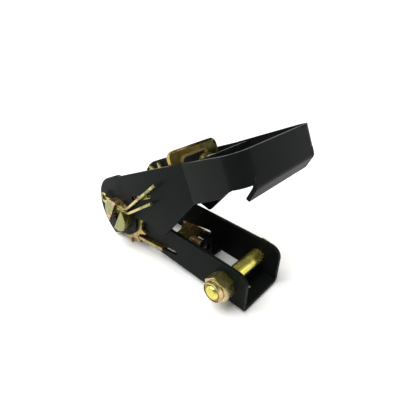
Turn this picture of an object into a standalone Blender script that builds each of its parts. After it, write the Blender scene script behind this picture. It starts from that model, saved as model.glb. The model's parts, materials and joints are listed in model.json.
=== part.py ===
"""Ratchet strap buckle for 25 mm webbing: a folded base, a swinging handle, a split spool and two pawls.

Frame: +X runs from the spool to the strap bolt, +Y across the webbing, +Z up. The origin is on the
underside of the base's front floor, straight below the strap bolt. Lengths are written in millimetres
and turned into metres by MM.
"""

from math import acos, atan2, cos, hypot, pi, radians, sin, sqrt, tan

import bmesh
import bpy
from mathutils import Matrix, Vector

MM = 0.001
GAP = 0.3 * MM                     # between faces that touch or slide on each other

# ---- driving sizes ----------------------------------------------------------------------------------
WEBBING_ROOM = 27.0 * MM           # clear width between the base's side plates, for 25 mm webbing
BASE_SHEET = 2.0 * MM
BASE_BEND = 0.8 * MM               # inside radius of the base's two long folds
SPOOL_TO_BOLT = 84.0 * MM
BOLT_TO_END = 12.8 * MM
BASE_DEPTH = 23.1 * MM             # height of the side plates
SPOOL_HEIGHT = 17.0 * MM           # spool axis above the base's underside
BOLT_HEIGHT = 12.4 * MM
NOSE_ROUND = 6.5 * MM              # round on the side plates' upper front corner

# floor of the base
FRONT_FLOOR = 24.3 * MM            # length of the floor under the bolt
MIDDLE_FLOOR = 14.0 * MM           # floor that carries the spring tab
PILOT_HOLE = 2.0 * MM              # radius
PILOT_TO_END = 8.5 * MM
TAB_FROM_SLOT = 10.0 * MM          # spring tab's middle to the round end of the lock pawl's slots
TAB_WIDTH = 8.0 * MM
TAB_TOP = 14.4 * MM                # above the floor's upper face
TAB_WINDOW = 4.6 * MM

# spool and ratchet wheels
SPOOL_RADIUS = 11.0 * MM
SPOOL_SLOT = 6.0 * MM              # gap between the two halves
SPOOL_LENGTH = 50.0 * MM
SPOOL_TURN = radians(58.0)         # the slot's slope above +X
WHEEL_SHEET = 2.1 * MM
WHEEL_TEETH = 12
WHEEL_TIP = 23.0 * MM
WHEEL_ROOT = 18.7 * MM
WHEEL_FACE_AT = radians(-46.2)     # world angle of one driving face
ROOT_SHARE = 0.52                  # share of a pitch that is tooth root
BACK_SHARE = 0.42                  # share that is the tooth's sloping back

# cotter pins
COTTER_WIRE = 0.95 * MM            # radius
COTTER_LIFT = 7.0 * MM             # above the spool axis
COTTER_HOLE_PLAY = 0.15 * MM
COTTER_EYE = 2.9 * MM
LONG_LEG = 43.0 * MM
SHORT_LEG = 31.0 * MM
LONG_LEG_SLOPE = radians(43.0)
SHORT_LEG_SLOPE = radians(36.0)

# lock pawl and its slots in the base
LOCK_SHEET = 2.4 * MM
LOCK_SLOPE = radians(9.0)          # the slots rise toward the bolt
LOCK_FROM_SPOOL = 47.0 * MM        # from the spool to the centre of the slot's round end
LOCK_SLOT_HEIGHT = 8.7 * MM        # that centre's height above the underside
LOCK_NOSE = 34.2 * MM              # slot's end to where a nose of no thickness would touch a tooth
LOCK_REACH = LOCK_NOSE - LOCK_SHEET / 2
LOCK_EAR_START = 24.0 * MM
LOCK_EAR_END = 9.5 * MM
LOCK_BODY_START = 21.0 * MM
LOCK_BODY_END = 3.0 * MM
LOCK_SCALLOP = 5.0 * MM            # depth of the hollow in the body's front edge
LOCK_TRAVEL = 6.0 * MM
TONGUE_WIDTH = 3.2 * MM
SPRING_WIRE = 0.5 * MM             # radius
SPRING_RADIUS = 2.75 * MM          # to the middle of the wire
SPRING_TURNS = 6

# strap bolt, M8 with a nyloc nut
BOLT_RADIUS = 4.0 * MM
HEX_FLATS = 13.0 * MM
HEAD_THICKNESS = 5.3 * MM
NUT_THICKNESS = 7.2 * MM
COLLAR_LENGTH = 2.4 * MM
COLLAR_RADIUS = 5.7 * MM
INSERT_RADIUS = 5.0 * MM
THREAD_STANDOUT = 0.6 * MM

# handle, in its own frame: x along the handle, z outward from the base, origin on the spool axis
HANDLE_REST = radians(25.2)
HANDLE_SHEET = 1.8 * MM
HANDLE_TOP = 23.5 * MM
HANDLE_LENGTH = 115.3 * MM         # spool axis to the outer face of the end web
HEAD_RADIUS = 24.1 * MM
HEAD_STOP = radians(217.0)         # where the round head gives way to the hub
HUB_RADIUS = 15.6 * MM
HUB_START = radians(247.0)
HUB_END = radians(345.0)
BUMP_FROM = 12.0 * MM              # small rise where the head meets the straight upper edge
BUMP_TO = 15.0 * MM
BUMP_RISE = 1.0 * MM
LOBE_START = (18.2 * MM, -3.7 * MM)
LOBE_SHOULDER = (30.7 * MM, -7.0 * MM)
LOBE_TIP = (40.5 * MM, -14.5 * MM)
LOBE_ROUND = 2.5 * MM
SIDE_DEPTH = 19.5 * MM             # height of the side plates at the outward step
GRIP_KNEE = (97.0 * MM, 7.4 * MM)  # the grip's underside rises from here to its heel
GRIP_HEEL = (108.0 * MM, 11.3 * MM)
STEP_AT = 75.5 * MM                # where the side plates step outward
STEP_OUT = 1.2 * MM
GRIP_FLARE = 7.6 * MM              # further widening at the end web
STEP_RAMP = 2.0 * MM
GRIP_RISE = 0.8 * MM
GRIP_ROUND = 7.5 * MM
WEB_BOTTOM = 11.4 * MM
LIP_WIDTH = 44.0 * MM
LIP_LENGTH = 7.0 * MM
LIP_SLOPE = radians(42.0)
LIP_ROOT = 2.5 * MM                # length of the lip's sheet that lies against the web
LIP_DROP = 1.2 * MM                # from the web's edge down to the fold
LIP_BEND = 2.2 * MM                # radius to the middle of the sheet
BRIDGE_AT = 82.0 * MM
BRIDGE_SHEET = 1.8 * MM
BRIDGE_LOW = 9.0 * MM
BRIDGE_HIGH = 23.0 * MM
BRIDGE_ROUND = 2.0 * MM

# release pawl, in the handle's frame
RELEASE_SHEET = 2.2 * MM
RELEASE_HEIGHT = 9.0 * MM          # middle of its sheet above the spool axis
RELEASE_NOSE = 22.0 * MM
RELEASE_EAR_START = 27.0 * MM
RELEASE_FRONT = 29.0 * MM          # front edge of the plate between its noses
RELEASE_EAR_END = 37.0 * MM
RELEASE_IN = 5.0 * MM              # travel into the wheels' teeth
RELEASE_OUT = 3.0 * MM             # travel away from them
BAIL_AT = 62.0 * MM
BAIL_TOP = 29.7 * MM
BAIL_HALF_WIDTH = 16.9 * MM
BAIL_ROUND = 4.0 * MM
BAIL_WINDOW = 18.0 * MM
BAIL_BAND = 5.0 * MM               # height of the finger band above the window
WINDOW_ROUND = 2.5 * MM
SEAT_AT = 70.0 * MM                # upright tab that the release spring bears on
SEAT_WIDTH = 9.0 * MM
FOLD_STEP = 0.1 * MM               # by which a folded-up piece stands off the plate's own faces
RELEASE_SPRING_HEIGHT = 19.3 * MM
RELEASE_TURNS = 5

# ---- sizes that follow ------------------------------------------------------------------------------
SPOOL_X = -SPOOL_TO_BOLT
BASE_OUTER = WEBBING_ROOM / 2 + BASE_SHEET
WHEEL_INNER = BASE_OUTER + GAP
WHEEL_OUTER = WHEEL_INNER + WHEEL_SHEET
HANDLE_INNER = WHEEL_OUTER + GAP
HANDLE_OUTER = HANDLE_INNER + HANDLE_SHEET
BORE_RADIUS = SPOOL_RADIUS + GAP
BODY_HALF_WIDTH = WEBBING_ROOM / 2 - GAP
COTTER_Y = (HANDLE_OUTER + SPOOL_LENGTH / 2) / 2
FRONT_END = BOLT_TO_END
WINDOW_FRONT = FRONT_END - FRONT_FLOOR
LOCK_SLOT_END = SPOOL_TO_BOLT - LOCK_FROM_SPOOL   # from the bolt back to the slots' round ends
TAB_X = TAB_FROM_SLOT - LOCK_SLOT_END
WINDOW_BACK = TAB_X + BASE_SHEET / 2
CUT_MARGIN = 5.0 * MM              # how far cutters run past what they cut

BLACK = ((0.013, 0.015, 0.014), 0.38, 0.0)
ZINC = ((0.62, 0.52, 0.24), 0.30, 0.9)
SPRING_STEEL = ((0.55, 0.38, 0.22), 0.30, 0.9)
NYLON = ((0.55, 0.42, 0.12), 0.45, 0.0)


# ---- scene and helpers ------------------------------------------------------------------------------
for old in list(bpy.data.objects):
    bpy.data.objects.remove(old, do_unlink=True)

PARTS = bpy.data.collections.new("ratchet_strap_buckle")
CUTTERS = bpy.data.collections.new("cutters")
for collection in (PARTS, CUTTERS):
    bpy.context.scene.collection.children.link(collection)


def material(name, finish):
    """A Principled material from a (colour, roughness, metallic) finish."""
    colour, roughness, metallic = finish
    made = bpy.data.materials.new(name)
    made.use_nodes = True
    shader = made.node_tree.nodes["Principled BSDF"]
    shader.inputs["Base Color"].default_value = (*colour, 1.0)
    shader.inputs["Roughness"].default_value = roughness
    shader.inputs["Metallic"].default_value = metallic
    return made


MATERIALS = {
    "black": material("black_coat", BLACK),
    "zinc": material("yellow_zinc", ZINC),
    "spring": material("spring_steel", SPRING_STEEL),
    "nylon": material("nylon", NYLON),
}


def add_part(name, mesh, finish, parent=None):
    """Put a finished mesh into the parts collection, under a parent empty if it has one."""
    made = bpy.data.objects.new(name, mesh)
    PARTS.objects.link(made)
    made.parent = parent
    mesh.materials.clear()
    mesh.materials.append(MATERIALS[finish])
    return made


def smooth_rounds(mesh, angle=radians(35.0)):
    """Shade a mesh smooth, with its real edges kept sharp."""
    mesh.shade_smooth()
    mesh.set_sharp_from_angle(angle=angle)


def axis_empty(name, location, turn=0.0, parent=None):
    """An empty on a joint's axis, turned about Y so that +X tips toward +Z by the angle turn."""
    made = bpy.data.objects.new(name, None)
    made.empty_display_size = 10 * MM
    PARTS.objects.link(made)
    made.location = location
    made.rotation_euler = (0.0, -turn, 0.0)
    made.parent = parent
    return made


def arc(centre, radius, start, end, steps):
    """Points on an arc in a plane, from one angle to another."""
    return [
        (centre[0] + radius * cos(a), centre[1] + radius * sin(a))
        for a in (start + (end - start) * i / steps for i in range(steps + 1))
    ]


def fillet(before, corner, after, radius, steps=5):
    """Points that round a polygon's corner with an arc of the given radius."""
    a, b, c = Vector(before), Vector(corner), Vector(after)
    one, two = (a - b).normalized(), (c - b).normalized()
    half = acos(max(-1.0, min(1.0, one.dot(two)))) / 2
    centre = b + (one + two).normalized() * radius / sin(half)
    first, last = b + one * radius / tan(half), b + two * radius / tan(half)
    start = atan2(first.y - centre.y, first.x - centre.x)
    end = atan2(last.y - centre.y, last.x - centre.x)
    sweep = (end - start + pi) % (2 * pi) - pi
    return arc(centre, radius, start, start + sweep, steps)


def rounded(points, radii, steps=5):
    """A closed outline with some corners rounded; radii maps a corner's number to its radius."""
    out = []
    for i, point in enumerate(points):
        if i in radii:
            out += fillet(points[i - 1], point, points[(i + 1) % len(points)], radii[i], steps)
        else:
            out.append(point)
    return out


def outline_mesh(name, outlines, thickness, plane="XZ"):
    """A flat plate from closed outlines; the first is the outside and the others are holes.

    The plate is centred on its plane. In the XZ plane the thickness runs along Y, in XY along Z.
    """
    curve = bpy.data.curves.new(name, "CURVE")
    curve.dimensions = "2D"
    curve.fill_mode = "BOTH"
    curve.extrude = thickness / 2
    for outline in outlines:
        spline = curve.splines.new("POLY")
        spline.points.add(len(outline) - 1)
        for point, (u, v) in zip(spline.points, outline):
            point.co = (u, v, 0.0, 1.0)
        spline.use_cyclic_u = True
    holder = bpy.data.objects.new(name, curve)
    CUTTERS.objects.link(holder)
    mesh = welded_copy(name, holder)
    if plane == "XZ":
        mesh.transform(Matrix.Rotation(radians(90), 4, "X"))
    elif plane == "YZ":
        mesh.transform(Matrix.Rotation(radians(90), 4, "Z") @ Matrix.Rotation(radians(90), 4, "X"))
    return mesh


def welded_copy(name, holder):
    """A mesh of what a curve object shows, with its caps welded on; the curve is removed."""
    bpy.context.view_layer.update()
    graph = bpy.context.evaluated_depsgraph_get()
    mesh = bpy.data.meshes.new_from_object(holder.evaluated_get(graph))
    mesh.transform(holder.matrix_world)
    mesh.name = name
    bpy.data.objects.remove(holder, do_unlink=True)
    edit = bmesh.new()
    edit.from_mesh(mesh)
    bmesh.ops.remove_doubles(edit, verts=edit.verts, dist=0.002 * MM)
    edit.to_mesh(mesh)
    edit.free()
    return mesh


def wire_mesh(name, points, radius, closed=False, resolution=2):
    """A round wire along a list of points."""
    curve = bpy.data.curves.new(name, "CURVE")
    curve.dimensions = "3D"
    curve.bevel_depth = radius
    curve.bevel_resolution = resolution
    curve.use_fill_caps = not closed
    spline = curve.splines.new("POLY")
    spline.points.add(len(points) - 1)
    for target, point in zip(spline.points, points):
        target.co = (*point, 1.0)
    spline.use_cyclic_u = closed
    holder = bpy.data.objects.new(name, curve)
    CUTTERS.objects.link(holder)
    return welded_copy(name, holder)


def box_mesh(name, low, high):
    """A box between two opposite corners."""
    mesh = bpy.data.meshes.new(name)
    edit = bmesh.new()
    bmesh.ops.create_cube(edit, size=1.0)
    size = [b - a for a, b in zip(low, high)]
    middle = [(a + b) / 2 for a, b in zip(low, high)]
    bmesh.ops.scale(edit, vec=size, verts=edit.verts)
    bmesh.ops.translate(edit, vec=middle, verts=edit.verts)
    edit.to_mesh(mesh)
    edit.free()
    return mesh


def rod_mesh(name, radius, y_from, y_to, centre=(0.0, 0.0), sides=32, turn=0.0):
    """A round or many-sided rod along Y around a centre in the XZ plane."""
    mesh = bpy.data.meshes.new(name)
    edit = bmesh.new()
    bmesh.ops.create_cone(
        edit, cap_ends=True, cap_tris=False, segments=sides, radius1=radius, radius2=radius,
        depth=y_to - y_from,
    )
    edit.to_mesh(mesh)
    edit.free()
    place = Matrix.Translation((centre[0], (y_from + y_to) / 2, centre[1]))
    mesh.transform(place @ Matrix.Rotation(radians(90), 4, "X") @ Matrix.Rotation(turn, 4, "Z"))
    return mesh


def combined(name, mesh, steps):
    """A mesh after a list of (operation, other mesh) Boolean steps."""
    base = bpy.data.objects.new(name, mesh)
    CUTTERS.objects.link(base)
    helpers = []
    for number, (operation, other) in enumerate(steps):
        helper = bpy.data.objects.new(f"{name}_cutter_{number}", other)
        CUTTERS.objects.link(helper)
        helper.hide_render = True
        helper.display_type = "WIRE"
        helpers.append(helper)
        modifier = base.modifiers.new(f"step_{number}", "BOOLEAN")
        modifier.operation = operation
        modifier.solver = "EXACT"
        modifier.object = helper
    bpy.context.view_layer.update()
    graph = bpy.context.evaluated_depsgraph_get()
    result = bpy.data.meshes.new_from_object(base.evaluated_get(graph))
    result.name = name
    for made in [base, *helpers]:
        bpy.data.objects.remove(made, do_unlink=True)
    edit = bmesh.new()
    edit.from_mesh(result)
    bmesh.ops.remove_doubles(edit, verts=edit.verts, dist=0.01 * MM)
    bmesh.ops.dissolve_limit(
        edit, angle_limit=radians(0.5), verts=edit.verts, edges=edit.edges, delimit={"NORMAL"}
    )
    edit.to_mesh(result)
    edit.free()
    return result


# ---- base frame -------------------------------------------------------------------------------------
def channel_section():
    """Cross-section of the folded base in the YZ plane: a floor and two walls with round folds."""
    outer, top = BASE_OUTER, BASE_DEPTH + SPOOL_RADIUS * 2
    inner = WEBBING_ROOM / 2
    fold_out = BASE_BEND + BASE_SHEET
    points = [
        (-outer, top), (-outer, 0.0), (outer, 0.0), (outer, top),
        (inner, top), (inner, BASE_SHEET), (-inner, BASE_SHEET), (-inner, top),
    ]
    return rounded(points, {1: fold_out, 2: fold_out, 5: BASE_BEND, 6: BASE_BEND}, steps=4)


def base_side_outline():
    """Side view of the base in the XZ plane: a straight plate with a round head about the spool."""
    head = SPOOL_HEIGHT
    lift = BASE_DEPTH - SPOOL_HEIGHT
    reach = sqrt(head**2 - lift**2)
    corners = [(0.0, BASE_DEPTH), (FRONT_END, BASE_DEPTH), (FRONT_END, 0.0)]
    nose = fillet(corners[0], corners[1], corners[2], NOSE_ROUND, steps=8)
    around = arc((SPOOL_X, SPOOL_HEIGHT), head, atan2(lift, reach), radians(270), 28)
    return [*around, (SPOOL_X, -CUT_MARGIN), (FRONT_END, -CUT_MARGIN), *nose[::-1]]


def slot_cutter(name, y_low, y_high):
    """Cutter for the lock pawl's inclined slots, through both side plates."""
    start = -LOCK_EAR_START - GAP
    half = LOCK_SHEET / 2 + GAP
    outline = [(start, -half), (0.0, -half)] + arc((0.0, 0.0), half, -pi / 2, pi / 2, 8)[1:-1]
    outline += [(0.0, half), (start, half)]
    mesh = outline_mesh(name, [outline], y_high - y_low)
    mesh.transform(Matrix.Translation((0.0, (y_low + y_high) / 2, 0.0)))
    mesh.transform(lock_place())
    return mesh


def lock_place():
    """Where the lock pawl's own frame stands: origin at the slot's round end, +X along the slot."""
    place = Matrix.Translation((-LOCK_SLOT_END, 0.0, LOCK_SLOT_HEIGHT))
    return place @ Matrix.Rotation(-LOCK_SLOPE, 4, "Y")


def tab_mesh():
    """The spring tab: an upright tongue with a round top and a window for the pawl's tongue."""
    half, low, high = TAB_WIDTH / 2, BASE_SHEET / 2, BASE_SHEET + TAB_TOP
    outline = [(-half, low), (half, low)] + arc((0.0, high - half), half, 0.0, pi, 12)
    distance = (TAB_X + LOCK_SLOT_END) / cos(LOCK_SLOPE)
    middle = LOCK_SLOT_HEIGHT + distance * sin(LOCK_SLOPE)
    window = TAB_WINDOW / 2
    hole = [(-window, middle - window), (-window, middle + window),
            (window, middle + window), (window, middle - window)]
    mesh = outline_mesh("spring_tab", [outline, hole], BASE_SHEET, plane="YZ")
    mesh.transform(Matrix.Translation((TAB_X, 0.0, 0.0)))
    return mesh


def make_base():
    """The base: a folded channel trimmed to its side view, pierced for spool, bolt, pawl and webbing."""
    channel = outline_mesh("channel", [channel_section()], 4 * SPOOL_TO_BOLT, plane="YZ")
    side = outline_mesh("side", [base_side_outline()], 2 * BASE_OUTER + CUT_MARGIN)
    bolt_at = (0.0, BOLT_HEIGHT)
    spool_at = (SPOOL_X, SPOOL_HEIGHT)
    inner = WEBBING_ROOM / 2 + FOLD_STEP
    deep, shallow = -CUT_MARGIN, BASE_SHEET + BASE_BEND + GAP
    rear_end = WINDOW_BACK - MIDDLE_FLOOR
    across = BASE_OUTER + CUT_MARGIN
    steps = [
        ("INTERSECT", side),
        ("DIFFERENCE", box_mesh("rear_cut", (2 * SPOOL_X, -inner, deep), (rear_end, inner, shallow))),
        ("DIFFERENCE", box_mesh("window", (WINDOW_BACK, -inner, deep), (WINDOW_FRONT, inner, shallow))),
        ("DIFFERENCE", rod_mesh("bore", BORE_RADIUS, -across, across, spool_at, 40)),
        ("DIFFERENCE", rod_mesh("bolt_hole", BOLT_RADIUS + GAP, -across, across, bolt_at, 28)),
        ("DIFFERENCE", slot_cutter("slots", -across, across)),
        ("DIFFERENCE", pilot_cutter()),
        ("UNION", tab_mesh()),
    ]
    mesh = combined("base_frame", channel, steps)
    smooth_rounds(mesh)
    return add_part("base_frame", mesh, "black")


def pilot_cutter():
    """Upright cutter for the pilot hole in the front floor."""
    mesh = rod_mesh("pilot", PILOT_HOLE, -CUT_MARGIN, CUT_MARGIN, sides=20)
    mesh.transform(Matrix.Rotation(radians(90), 4, "X"))
    mesh.transform(Matrix.Translation((FRONT_END - PILOT_TO_END, 0.0, 0.0)))
    return mesh


# ---- strap bolt -------------------------------------------------------------------------------------
def make_bolt():
    """The bolt that the fixed strap end loops around, with its head on the +Y side."""
    corner = HEX_FLATS / 2 / cos(radians(30))
    centre = (0.0, BOLT_HEIGHT)
    seat = BASE_OUTER + GAP
    end = seat + NUT_THICKNESS + COLLAR_LENGTH + THREAD_STANDOUT
    shank = rod_mesh("shank", BOLT_RADIUS, -end, seat + GAP, centre, 28)
    head = rod_mesh("head", corner, seat, seat + HEAD_THICKNESS, centre, 6, radians(20))
    mesh = combined("strap_bolt", head, [("UNION", shank)])
    smooth_rounds(mesh)
    return add_part("strap_bolt", mesh, "zinc")


def make_nut():
    """The nyloc nut on the -Y side: a hexagon and a round collar around the nylon insert."""
    corner = HEX_FLATS / 2 / cos(radians(30))
    centre = (0.0, BOLT_HEIGHT)
    seat = -(BASE_OUTER + GAP)
    shoulder = seat - NUT_THICKNESS
    rim = shoulder - COLLAR_LENGTH
    hexagon = rod_mesh("hexagon", corner, shoulder, seat, centre, 6, radians(10))
    outside = rim - CUT_MARGIN
    steps = [
        ("UNION", rod_mesh("collar", COLLAR_RADIUS, rim, shoulder + GAP, centre, 28)),
        ("DIFFERENCE", rod_mesh("thread", BOLT_RADIUS + GAP, outside, seat + CUT_MARGIN, centre, 28)),
        ("DIFFERENCE", rod_mesh("seat", INSERT_RADIUS + GAP / 3, outside, shoulder, centre, 28)),
    ]
    mesh = combined("strap_bolt_nut", hexagon, steps)
    smooth_rounds(mesh)
    add_part("strap_bolt_nut", mesh, "zinc")

    ring = rod_mesh("ring", INSERT_RADIUS, rim + GAP, shoulder - GAP / 3, centre, 28)
    hole = rod_mesh("hole", BOLT_RADIUS + GAP / 3, outside, seat, centre, 28)
    mesh = combined("nut_nylon_insert", ring, [("DIFFERENCE", hole)])
    smooth_rounds(mesh)
    return add_part("nut_nylon_insert", mesh, "nylon")


# ---- lock pawl --------------------------------------------------------------------------------------
def make_lock_pawl():
    """The base's pawl: a flat plate whose ears pass through the slots and reach into the wheels."""
    ear = WHEEL_OUTER
    finger = WHEEL_INNER
    tongue = TONGUE_WIDTH / 2
    tongue_end = (TAB_X + LOCK_SLOT_END) / cos(LOCK_SLOPE) - BASE_SHEET
    body = BODY_HALF_WIDTH
    scallop = arc((-LOCK_BODY_START - LOCK_SCALLOP, 0.0), 2 * LOCK_SCALLOP, -pi / 3, pi / 3, 10)
    half = [
        (-LOCK_BODY_START, body), (-LOCK_EAR_START, body), (-LOCK_EAR_START, finger),
        (-LOCK_REACH, finger), (-LOCK_REACH, ear), (-LOCK_EAR_END, ear), (-LOCK_EAR_END, body),
        (-LOCK_BODY_END, body), (-LOCK_BODY_END, tongue), (tongue_end, tongue),
    ]
    mirrored = [(u, -v) for u, v in reversed(half)]
    outline = scallop[1:-1] + half + mirrored
    mesh = outline_mesh("lock_pawl", [outline], LOCK_SHEET, plane="XY")
    empty = axis_empty("lock_pawl_slide_axis", (-LOCK_SLOT_END, 0.0, LOCK_SLOT_HEIGHT), LOCK_SLOPE)
    return add_part("lock_pawl", mesh, "zinc", empty), empty, tongue_end


def coil_points(start, end, turns, radius, per_turn=12):
    """Points on a coil along +X from start to end."""
    count = turns * per_turn
    return [
        (start + (end - start) * i / count,
         radius * cos(2 * pi * i / per_turn), radius * sin(2 * pi * i / per_turn))
        for i in range(count + 1)
    ]


def make_lock_spring():
    """The coil that pushes the lock pawl into the wheels, between its body and the base's tab."""
    wire = SPRING_WIRE + GAP
    start = -LOCK_BODY_END + wire
    slack = SPRING_RADIUS * sin(LOCK_SLOPE)
    end = (TAB_X - BASE_SHEET / 2 + LOCK_SLOT_END) / cos(LOCK_SLOPE) - wire - slack
    mesh = wire_mesh("lock_spring", coil_points(start, end, SPRING_TURNS, SPRING_RADIUS), SPRING_WIRE)
    mesh.transform(lock_place())
    smooth_rounds(mesh)
    return add_part("lock_spring", mesh, "spring")


# ---- spool, wheels and cotter pins ------------------------------------------------------------------
def half_round(radius, chord, side, steps=16):
    """Outline of one spool half: a circle's segment beyond a chord, turned to the slot's slope."""
    reach = acos(chord / radius)
    facing = SPOOL_TURN + side * pi / 2
    return arc((0.0, 0.0), radius, facing - reach, facing + reach, steps)


def make_spool_half(name, side, empty):
    """One half of the split spool, cross-drilled at both ends for the cotter pins."""
    mesh = outline_mesh(name, [half_round(SPOOL_RADIUS, SPOOL_SLOT / 2, side)], SPOOL_LENGTH)
    steps = []
    bore = 2 * COTTER_WIRE + COTTER_HOLE_PLAY
    for end in (-1, 1):
        hole = rod_mesh("hole", bore, -2 * SPOOL_RADIUS, 2 * SPOOL_RADIUS, sides=16)
        hole.transform(Matrix.Rotation(radians(90), 4, "Z"))
        hole.transform(Matrix.Translation((0.0, end * COTTER_Y, COTTER_LIFT)))
        steps.append(("DIFFERENCE", hole))
    mesh = combined(name, mesh, steps)
    smooth_rounds(mesh)
    return add_part(name, mesh, "zinc", empty)


def wheel_outline():
    """Saw-tooth rim: each tooth has a radial driving face and a long sloping back."""
    pitch = 2 * pi / WHEEL_TEETH
    points = []
    for tooth in range(WHEEL_TEETH):
        face = WHEEL_FACE_AT + tooth * pitch
        points += arc((0.0, 0.0), WHEEL_ROOT, face, face + ROOT_SHARE * pitch, 3)
        back = face + (ROOT_SHARE + BACK_SHARE) * pitch
        points += arc((0.0, 0.0), WHEEL_TIP, back, face + pitch, 1)
    return points


def make_wheel(name, side, empty):
    """A ratchet wheel driven by the two spool halves through its D-shaped holes."""
    holes = [half_round(BORE_RADIUS, SPOOL_SLOT / 2 - GAP, s)[::-1] for s in (-1, 1)]
    mesh = outline_mesh(name, [wheel_outline(), *holes], WHEEL_SHEET)
    mesh.transform(Matrix.Translation((0.0, side * (WHEEL_INNER + WHEEL_OUTER) / 2, 0.0)))
    smooth_rounds(mesh)
    return add_part(name, mesh, "zinc", empty)


def bend_between(a, corner, b, radius, steps=5):
    """3D points that round the corner of a wire in the XZ plane."""
    flat = fillet((a[0], a[2]), (corner[0], corner[2]), (b[0], b[2]), radius, steps)
    return [(x, corner[1], z) for x, z in flat]


def make_cotter(name, side, empty):
    """A split pin: an eye beside the spool, a shank through both halves and two spread legs."""
    y, lift, wire = side * COTTER_Y, COTTER_LIFT, COTTER_WIRE
    left, right = -SPOOL_RADIUS, SPOOL_RADIUS
    eye = (left - COTTER_EYE, lift)
    ring = arc(eye, COTTER_EYE, radians(-18), radians(-342), 18)
    path = [(x, y, z) for x, z in ring]
    long_end = (right + LONG_LEG * cos(LONG_LEG_SLOPE), y, lift + LONG_LEG * sin(LONG_LEG_SLOPE))
    short_end = (right + SHORT_LEG * cos(SHORT_LEG_SLOPE), y, lift + SHORT_LEG * sin(SHORT_LEG_SLOPE))
    upper, lower = lift + wire * 0.98, lift - wire * 0.98
    start_upper, start_lower = (left, y, upper), (left, y, lower)
    upper_corner, lower_corner = (right - wire, y, upper), (right + wire, y, lower)
    long_end = (long_end[0] - wire, long_end[1], long_end[2] + wire)
    short_end = (short_end[0] + wire, short_end[1], short_end[2] - wire)
    up = [start_upper, *bend_between(start_upper, upper_corner, long_end, 3 * wire), long_end]
    low = [start_lower, *bend_between(start_lower, lower_corner, short_end, 3 * wire), short_end]
    upper_leg = wire_mesh("upper_leg", up, wire)
    lower_leg = wire_mesh("lower_leg", low, wire)
    eye_ring = wire_mesh("eye", path, wire)
    mesh = combined(name, upper_leg, [("UNION", lower_leg), ("UNION", eye_ring)])
    smooth_rounds(mesh)
    return add_part(name, mesh, "zinc", empty)


def make_spool():
    """Everything that turns with the spool, under an empty on its axis."""
    empty = axis_empty("spool_axis", (SPOOL_X, 0.0, SPOOL_HEIGHT))
    make_spool_half("spool_half_upper", 1, empty)
    make_spool_half("spool_half_lower", -1, empty)
    for word, side in (("near", -1), ("far", 1)):
        make_wheel(f"ratchet_wheel_{word}", side, empty)
        make_cotter(f"cotter_pin_{word}", side, empty)
    return empty


# ---- handle -----------------------------------------------------------------------------------------
def handle_plan():
    """Middle line of the handle's sheet seen from above: side, outward step, flared grip, end web."""
    half = HANDLE_SHEET / 2
    side = HANDLE_INNER + half
    wide = side + STEP_OUT
    end_x = HANDLE_LENGTH - half
    end_y = wide + GRIP_FLARE
    start = (-HEAD_RADIUS - CUT_MARGIN, -side)
    step = [(STEP_AT, -side), (STEP_AT + STEP_RAMP, -wide)]
    corner = fillet(step[1], (end_x, -end_y), (end_x, 0.0), GRIP_ROUND - half, steps=8)
    lower = [start, *step, *corner]
    return lower + [(x, -y) for x, y in reversed(lower)]


def handle_ribbon(name, low, high):
    """The handle's sheet as a closed wall of full height, made by thickening an upright ribbon."""
    mesh = bpy.data.meshes.new(name)
    edit = bmesh.new()
    below = [edit.verts.new((x, y, low)) for x, y in handle_plan()]
    above = [edit.verts.new((x, y, high)) for x, y in handle_plan()]
    for i in range(len(below) - 1):
        edit.faces.new((below[i], below[i + 1], above[i + 1], above[i]))
    edit.to_mesh(mesh)
    edit.free()
    holder = bpy.data.objects.new(name, mesh)
    CUTTERS.objects.link(holder)
    shell = holder.modifiers.new("sheet", "SOLIDIFY")
    shell.thickness = HANDLE_SHEET
    shell.offset = 0.0
    shell.use_even_offset = True
    return welded_copy(name, holder)


def handle_side_outline():
    """Side view of the handle: a round head, a hub ring, the cam lobe and the grip."""
    top, tip = HANDLE_TOP, HANDLE_LENGTH + CUT_MARGIN
    foot = (STEP_AT, HANDLE_TOP - SIDE_DEPTH)
    outline = arc((0.0, 0.0), HEAD_RADIUS, radians(90), HEAD_STOP, 22)
    outline += arc((0.0, 0.0), HUB_RADIUS, HUB_START, HUB_END, 12)
    outline += [LOBE_START, LOBE_SHOULDER]
    outline += fillet(LOBE_SHOULDER, LOBE_TIP, foot, LOBE_ROUND, 6)
    outline += [foot, GRIP_KNEE, GRIP_HEEL, (tip, WEB_BOTTOM), (tip, top + GRIP_RISE), (STEP_AT, top)]
    outline += [(BUMP_TO, top), (BUMP_FROM, top + BUMP_RISE)]
    return outline


def handle_slot_outline():
    """Outline of the guide slot for the release pawl's ears."""
    low = RELEASE_EAR_START - RELEASE_IN - GAP
    high = RELEASE_EAR_END + RELEASE_OUT + GAP
    half = RELEASE_SHEET / 2 + GAP
    left, right = (low, RELEASE_HEIGHT), (high, RELEASE_HEIGHT)
    return arc(left, half, pi / 2, 3 * pi / 2, 8) + arc(right, half, -pi / 2, pi / 2, 8)


def lip_mesh():
    """The lip under the end web, folded inward at a slope."""
    half = HANDLE_SHEET / 2
    outer = HANDLE_LENGTH
    line = [(outer - half, WEB_BOTTOM + LIP_ROOT), (outer - half, WEB_BOTTOM - LIP_DROP)]
    end = (line[1][0] - LIP_LENGTH * cos(LIP_SLOPE), line[1][1] - LIP_LENGTH * sin(LIP_SLOPE))
    middle = [line[0], *fillet(line[0], line[1], end, LIP_BEND, 5), end]
    return outline_mesh("lip", [offset_ribbon(middle, half)], LIP_WIDTH)


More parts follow.
